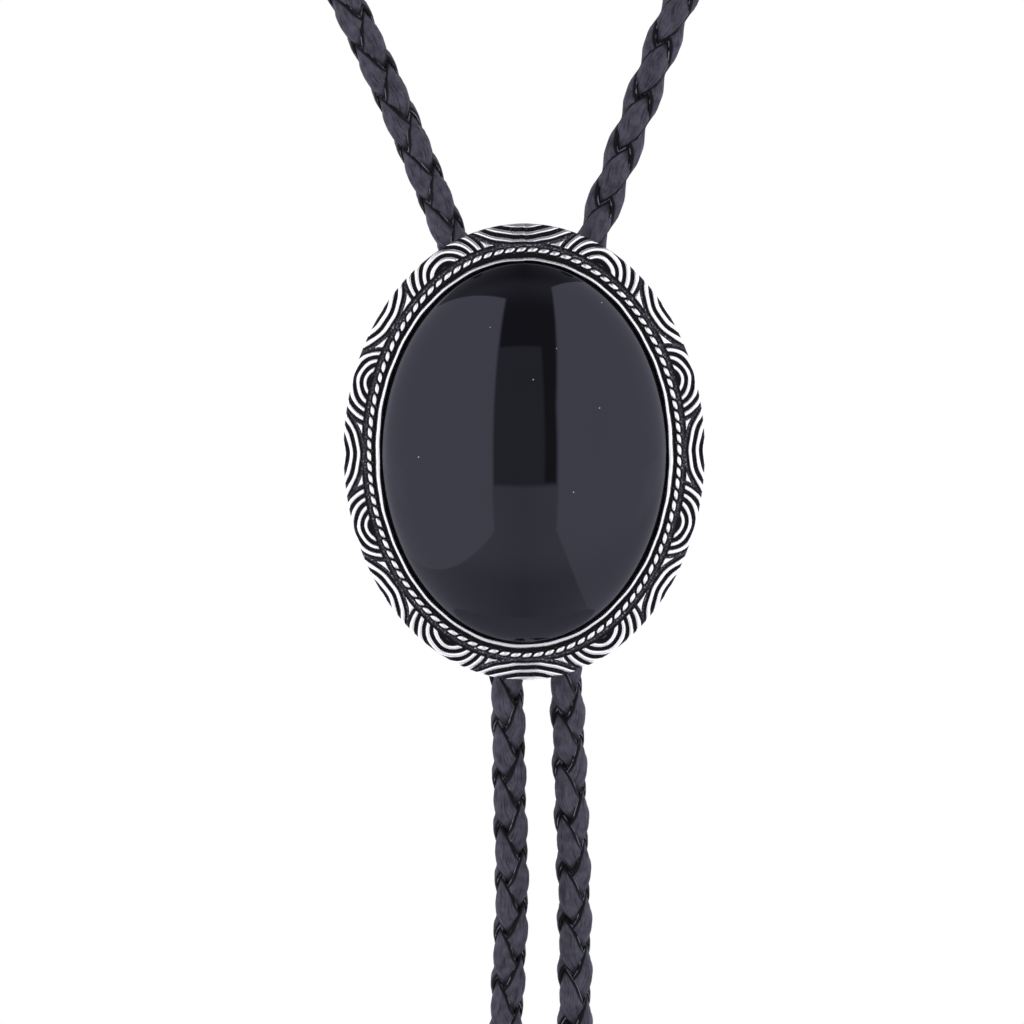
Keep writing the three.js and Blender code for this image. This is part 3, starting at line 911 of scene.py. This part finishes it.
def pale_floor():
    """A plain round floor some way below the tie."""
    around, rings = 96, 24
    turn = np.arange(around) / around * TAU
    share = np.linspace(1, 1 / rings, rings)[:, None]
    x = slide_centre[0] + FLOOR_RADIUS * share * np.cos(turn)
    y = slide_centre[1] + FLOOR_RADIUS * share * np.sin(turn)
    z = np.full_like(x, slide_centre[2] - FLOOR_DROP)
    middle = np.array([slide_centre[0], slide_centre[1], slide_centre[2] - FLOOR_DROP])
    floor = lofted("floor", np.stack([x, y, z], axis=-1), end=middle)
    material, tree = new_material("pale_floor")
    shader = node(tree, "ShaderNodeBsdfPrincipled", Base_Color=linear("#F4F4F6"), Roughness=0.8)
    finish_material(tree, shader)
    floor.data.materials.append(material)


def studio_light():
    """The room round the tie, as the stone mirrors it, with plain white behind everything that the
    camera sees. It is drawn on the flat map on which a direction's place is its sideways and upward
    parts over one less its part away from the camera, so that straight things look straight. Two
    tall soft boxes stand at the sides, with a dim gap between them, a dark ceiling above and a grey
    table below, both a little brighter toward the boxes. A bright backdrop is behind the tie, but
    not overhead."""
    world = bpy.data.worlds.new("studio")
    bpy.context.scene.world = world
    world.use_nodes = True
    tree = world.node_tree
    tree.nodes.clear()

    def above(value, place, soft=0.008):
        """One where a value is above a place and nought where it is below it, with a soft edge."""
        return remap(tree, maths(tree, "SUBTRACT", value, place), -soft, soft)

    def below(value, place):
        return above(place, value)

    def scaled(value, factor, added=0.0):
        return maths(tree, "MULTIPLY_ADD", value, factor, added)

    def both(first, *rest):
        for other in rest:
            first = maths(tree, "MULTIPLY", first, other)
        return first

    def brighter(first, *rest):
        for other in rest:
            first = maths(tree, "MAXIMUM", first, other)
        return first

    way = node(tree, "ShaderNodeTexCoord").outputs["Generated"]
    turn = {"rotation_type": "X_AXIS"}
    squared = node(tree, "ShaderNodeVectorRotate", turn, Vector=way, Angle=-CAMERA_LIFT)
    right, away, up = node(tree, "ShaderNodeSeparateXYZ", Vector=squared.outputs[0]).outputs
    near = maths(tree, "MAXIMUM", maths(tree, "SUBTRACT", 1.0, away), 0.02)
    x = maths(tree, "DIVIDE", right, near)
    z = maths(tree, "DIVIDE", up, near)
    off = maths(tree, "ABSOLUTE", x)
    round_about = maths(tree, "SQRT", maths(tree, "MULTIPLY_ADD", x, x, maths(tree, "MULTIPLY", z, z)))

    # The boxes' tops rise outward, the left one's foot falls outward, and the right one's side
    # leans
    left_foot = scaled(maths(tree, "POWER", off, 0.6), -0.56)
    left_box = both(below(x, LEFT_BOX_SIDE), below(z, scaled(off, 0.545, 0.355)), above(z, left_foot))
    upper_lean = maths(tree, "MAXIMUM", maths(tree, "SUBTRACT", z, 0.08), 0.0)
    lower_lean = maths(tree, "MAXIMUM", maths(tree, "SUBTRACT", -0.12, z), 0.0)
    right_side = scaled(lower_lean, 0.68, scaled(upper_lean, 0.14, RIGHT_BOX_SIDE))
    right_dimming = remap(tree, z, -0.12, -0.3, 1.0, 0.87)
    right_box = both(above(x, right_side), below(z, scaled(off, 1.1, 0.36)), right_dimming)

    # The table and the ceiling are brighter toward the boxes
    toward_box = maths(tree, "MINIMUM", off, 0.6)
    lit_table = scaled(toward_box, 0.7, remap(tree, z, -0.15, -0.27, *TABLE_LEVELS))
    table = both(below(z, TABLE_EDGE), lit_table)
    lit_ceiling = both(above(z, CEILING_EDGE, 0.1), scaled(toward_box, 0.4, CEILING_LEVEL))
    far_ceiling = scaled(above(z, FAR_CEILING_EDGE, 0.1), FAR_CEILING_DIMMING)
    gap = maths(tree, "ADD", far_ceiling, maths(tree, "ADD", lit_ceiling, GAP_LEVEL))

    panel = scaled(both(below(x, PANEL_SIDE), below(z, PANEL_TOP)), PANEL_LEVEL)
    not_overhead = remap(tree, maths(tree, "DIVIDE", z, round_about), 0.7, 0.85, 1.0, 0.0)
    backdrop = both(above(round_about, BACKDROP_EDGE, 0.15), not_overhead)
    level = brighter(gap, backdrop, panel, table, left_box, right_box)

    strength = scaled(level, BOX_STRENGTH)
    light = node(tree, "ShaderNodeBackground", Color=linear("#EEEEFF"), Strength=strength)
    seen = node(tree, "ShaderNodeBackground", Color=(1, 1, 1, 1), Strength=1.0)
    camera_ray = node(tree, "ShaderNodeLightPath").outputs["Is Camera Ray"]
    chosen = node(tree, "ShaderNodeMixShader", _0=camera_ray, _1=light.outputs[0], _2=seen.outputs[0])
    node(tree, "ShaderNodeOutputWorld", Surface=chosen.outputs[0])


pale_floor()
studio_light()
bpy.context.scene.view_settings.view_transform = "Standard"
